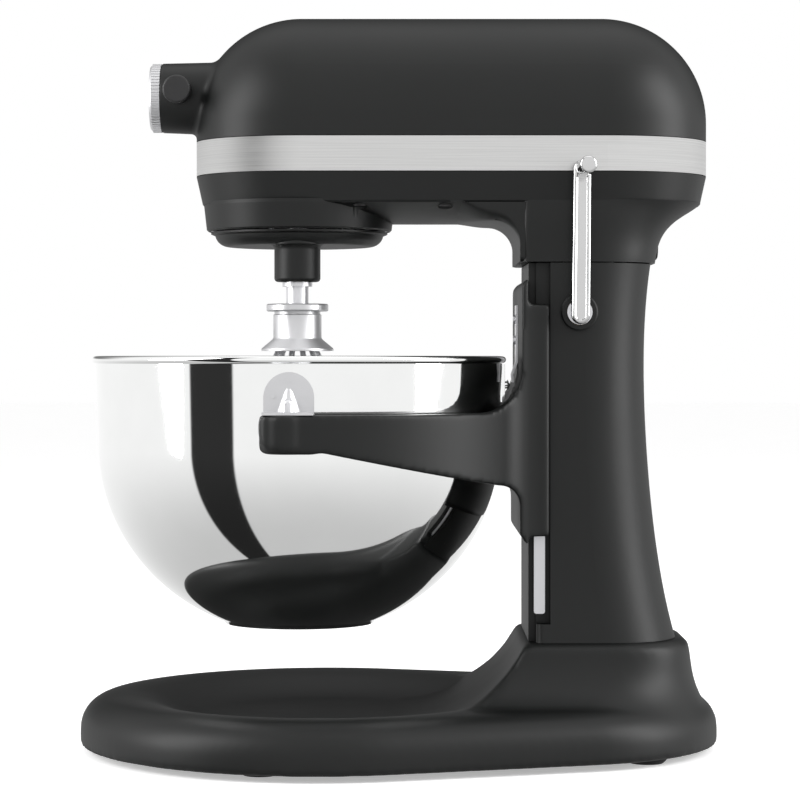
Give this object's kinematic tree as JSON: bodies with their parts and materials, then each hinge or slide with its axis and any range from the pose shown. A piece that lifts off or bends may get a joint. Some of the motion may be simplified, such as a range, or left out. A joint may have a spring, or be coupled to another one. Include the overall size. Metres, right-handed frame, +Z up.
{
  "type": "stand mixer",
  "caption": "Bowl-lift stand mixer: rounded head with attachment hub and trim band on a column, planetary wire whisk, polished bowl on a lever-lifted yoke, dished base.",
  "frame": {"origin": "on the surface the feet stand on, under the middle of the base", "axes": "+Z up, front of the mixer (attachment hub) towards -Y, lift lever on the +X side"},
  "size_m": [0.28, 0.368, 0.4214],
  "materials": {
    "paint": "matte charcoal black, fine texture",
    "band": "brushed, bare",
    "chrome": "polished",
    "polished_steel": "mirror polished",
    "bright_steel": "bright drawn",
    "satin_alloy": "satin",
    "alloy": "as cast",
    "gear_steel": "machined",
    "lamination": "stamped steel",
    "fastener": "zinc plated",
    "copper": "copper",
    "bronze": "sintered",
    "rubber": "matte",
    "plastic": "matte black",
    "board": "laminate",
    "carbon": "graphite"
  },
  "bodies": {
    "stand": {"base_casting": "paint", "column": "paint", "lower_housing": "paint", "upper_housing": "paint", "rubber_feet": "rubber", "cord_grommet": "rubber", "column_bolts": "fastener", "head_bolts": "fastener", "housing_screws": "fastener", "guide_rails": "bright_steel", "lift_bushes": "bronze", "trim_band": "band", "control_board": "board", "stator_core": "lamination", "field_coils": "copper", "motor_brackets": "alloy", "motor_bearings": "bronze", "brush_holders": "bronze", "carbon_brushes": "carbon", "lay_bearings": "bronze", "centre_bearings": "bronze", "hub_bearing": "bronze", "ring_gear": "gear_steel"},
    "lift": {"lift_yoke": "paint", "bowl_pins": "bright_steel", "bowl_latch_spring": "bright_steel", "lift_rod": "gear_steel", "bowl": "polished_steel", "bowl_side_brackets": "satin_alloy", "bowl_rear_clip": "polished_steel"},
    "lever": {"lift_lever": "chrome", "lift_shaft": "bright_steel", "lift_crank": "gear_steel"},
    "planetary": {"planetary_carrier": "paint", "centre_shaft": "gear_steel", "centre_gear": "gear_steel", "hub_crown_gear": "gear_steel", "beater_bushes": "bronze"},
    "beater": {"beater_shaft": "bright_steel", "planet_pinion": "gear_steel", "shaft_washer": "bright_steel", "whisk_hub": "satin_alloy", "whisk_wires": "bright_steel"},
    "layshaft": {"lay_shaft": "gear_steel", "lay_bevel_gear": "gear_steel", "lay_pinion": "gear_steel"},
    "armature": {"armature_shaft": "gear_steel", "armature_core": "lamination", "commutator": "copper", "cooling_fan": "plastic", "armature_pinion": "gear_steel"},
    "hub_drive": {"hub_drive_shaft": "gear_steel", "hub_bevel_pinion": "gear_steel"},
    "cap": {"hub_cap": "satin_alloy"},
    "knob": {"hub_knob": "plastic"},
    "speed": {"speed_lever": "plastic", "speed_link": "gear_steel"}
  },
  "joints": [
    {"name": "bowl_lift_slide", "type": "slide", "parent": "stand", "child": "lift", "axis": [0, 0, 1], "range_m": [-0.044, 0]},
    {"name": "lift_lever_turn", "type": "hinge", "parent": "stand", "child": "lever", "pos_m": [0, 0.101, 0.2513], "axis": [-1, 0, 0], "range_deg": [0, 130]},
    {"name": "planetary_spin", "type": "hinge", "parent": "stand", "child": "planetary", "pos_m": [0, -0.0577, 0.29], "axis": [0, 0, 1], "continuous": true},
    {"name": "beater_spin", "type": "hinge", "parent": "planetary", "child": "beater", "pos_m": [0.03, -0.0577, 0.26], "axis": [0, 0, 1], "continuous": true},
    {"name": "layshaft_spin", "type": "hinge", "parent": "stand", "child": "layshaft", "pos_m": [0, -0.0127, 0.33], "axis": [0, 0, 1], "continuous": true},
    {"name": "armature_spin", "type": "hinge", "parent": "stand", "child": "armature", "pos_m": [0, 0.07, 0.362], "axis": [0, 1, 0], "continuous": true},
    {"name": "hub_drive_spin", "type": "hinge", "parent": "stand", "child": "hub_drive", "pos_m": [0, -0.1, 0.3758], "axis": [0, 1, 0], "continuous": true},
    {"name": "hub_cap_pull", "type": "slide", "parent": "stand", "child": "cap", "axis": [0, -1, 0], "range_m": [0, 0.06]},
    {"name": "hub_knob_turn", "type": "hinge", "parent": "stand", "child": "knob", "pos_m": [0.025, -0.1263, 0.3783], "axis": [1, 0, 0], "range_deg": [0, 1080]},
    {"name": "speed_lever_slide", "type": "slide", "parent": "stand", "child": "speed", "axis": [0, 1, 0], "range_m": [0, 0.045]}
  ],
  "couplings": [
    {"joint": "lift_lever_turn", "follows": "bowl_lift_slide", "rad_per_m": -51.56},
    {"joint": "beater_spin", "follows": "planetary_spin", "ratio": -3},
    {"joint": "layshaft_spin", "follows": "planetary_spin", "ratio": -4},
    {"joint": "armature_spin", "follows": "planetary_spin", "ratio": -12},
    {"joint": "hub_drive_spin", "follows": "planetary_spin", "ratio": -2}
  ]
}
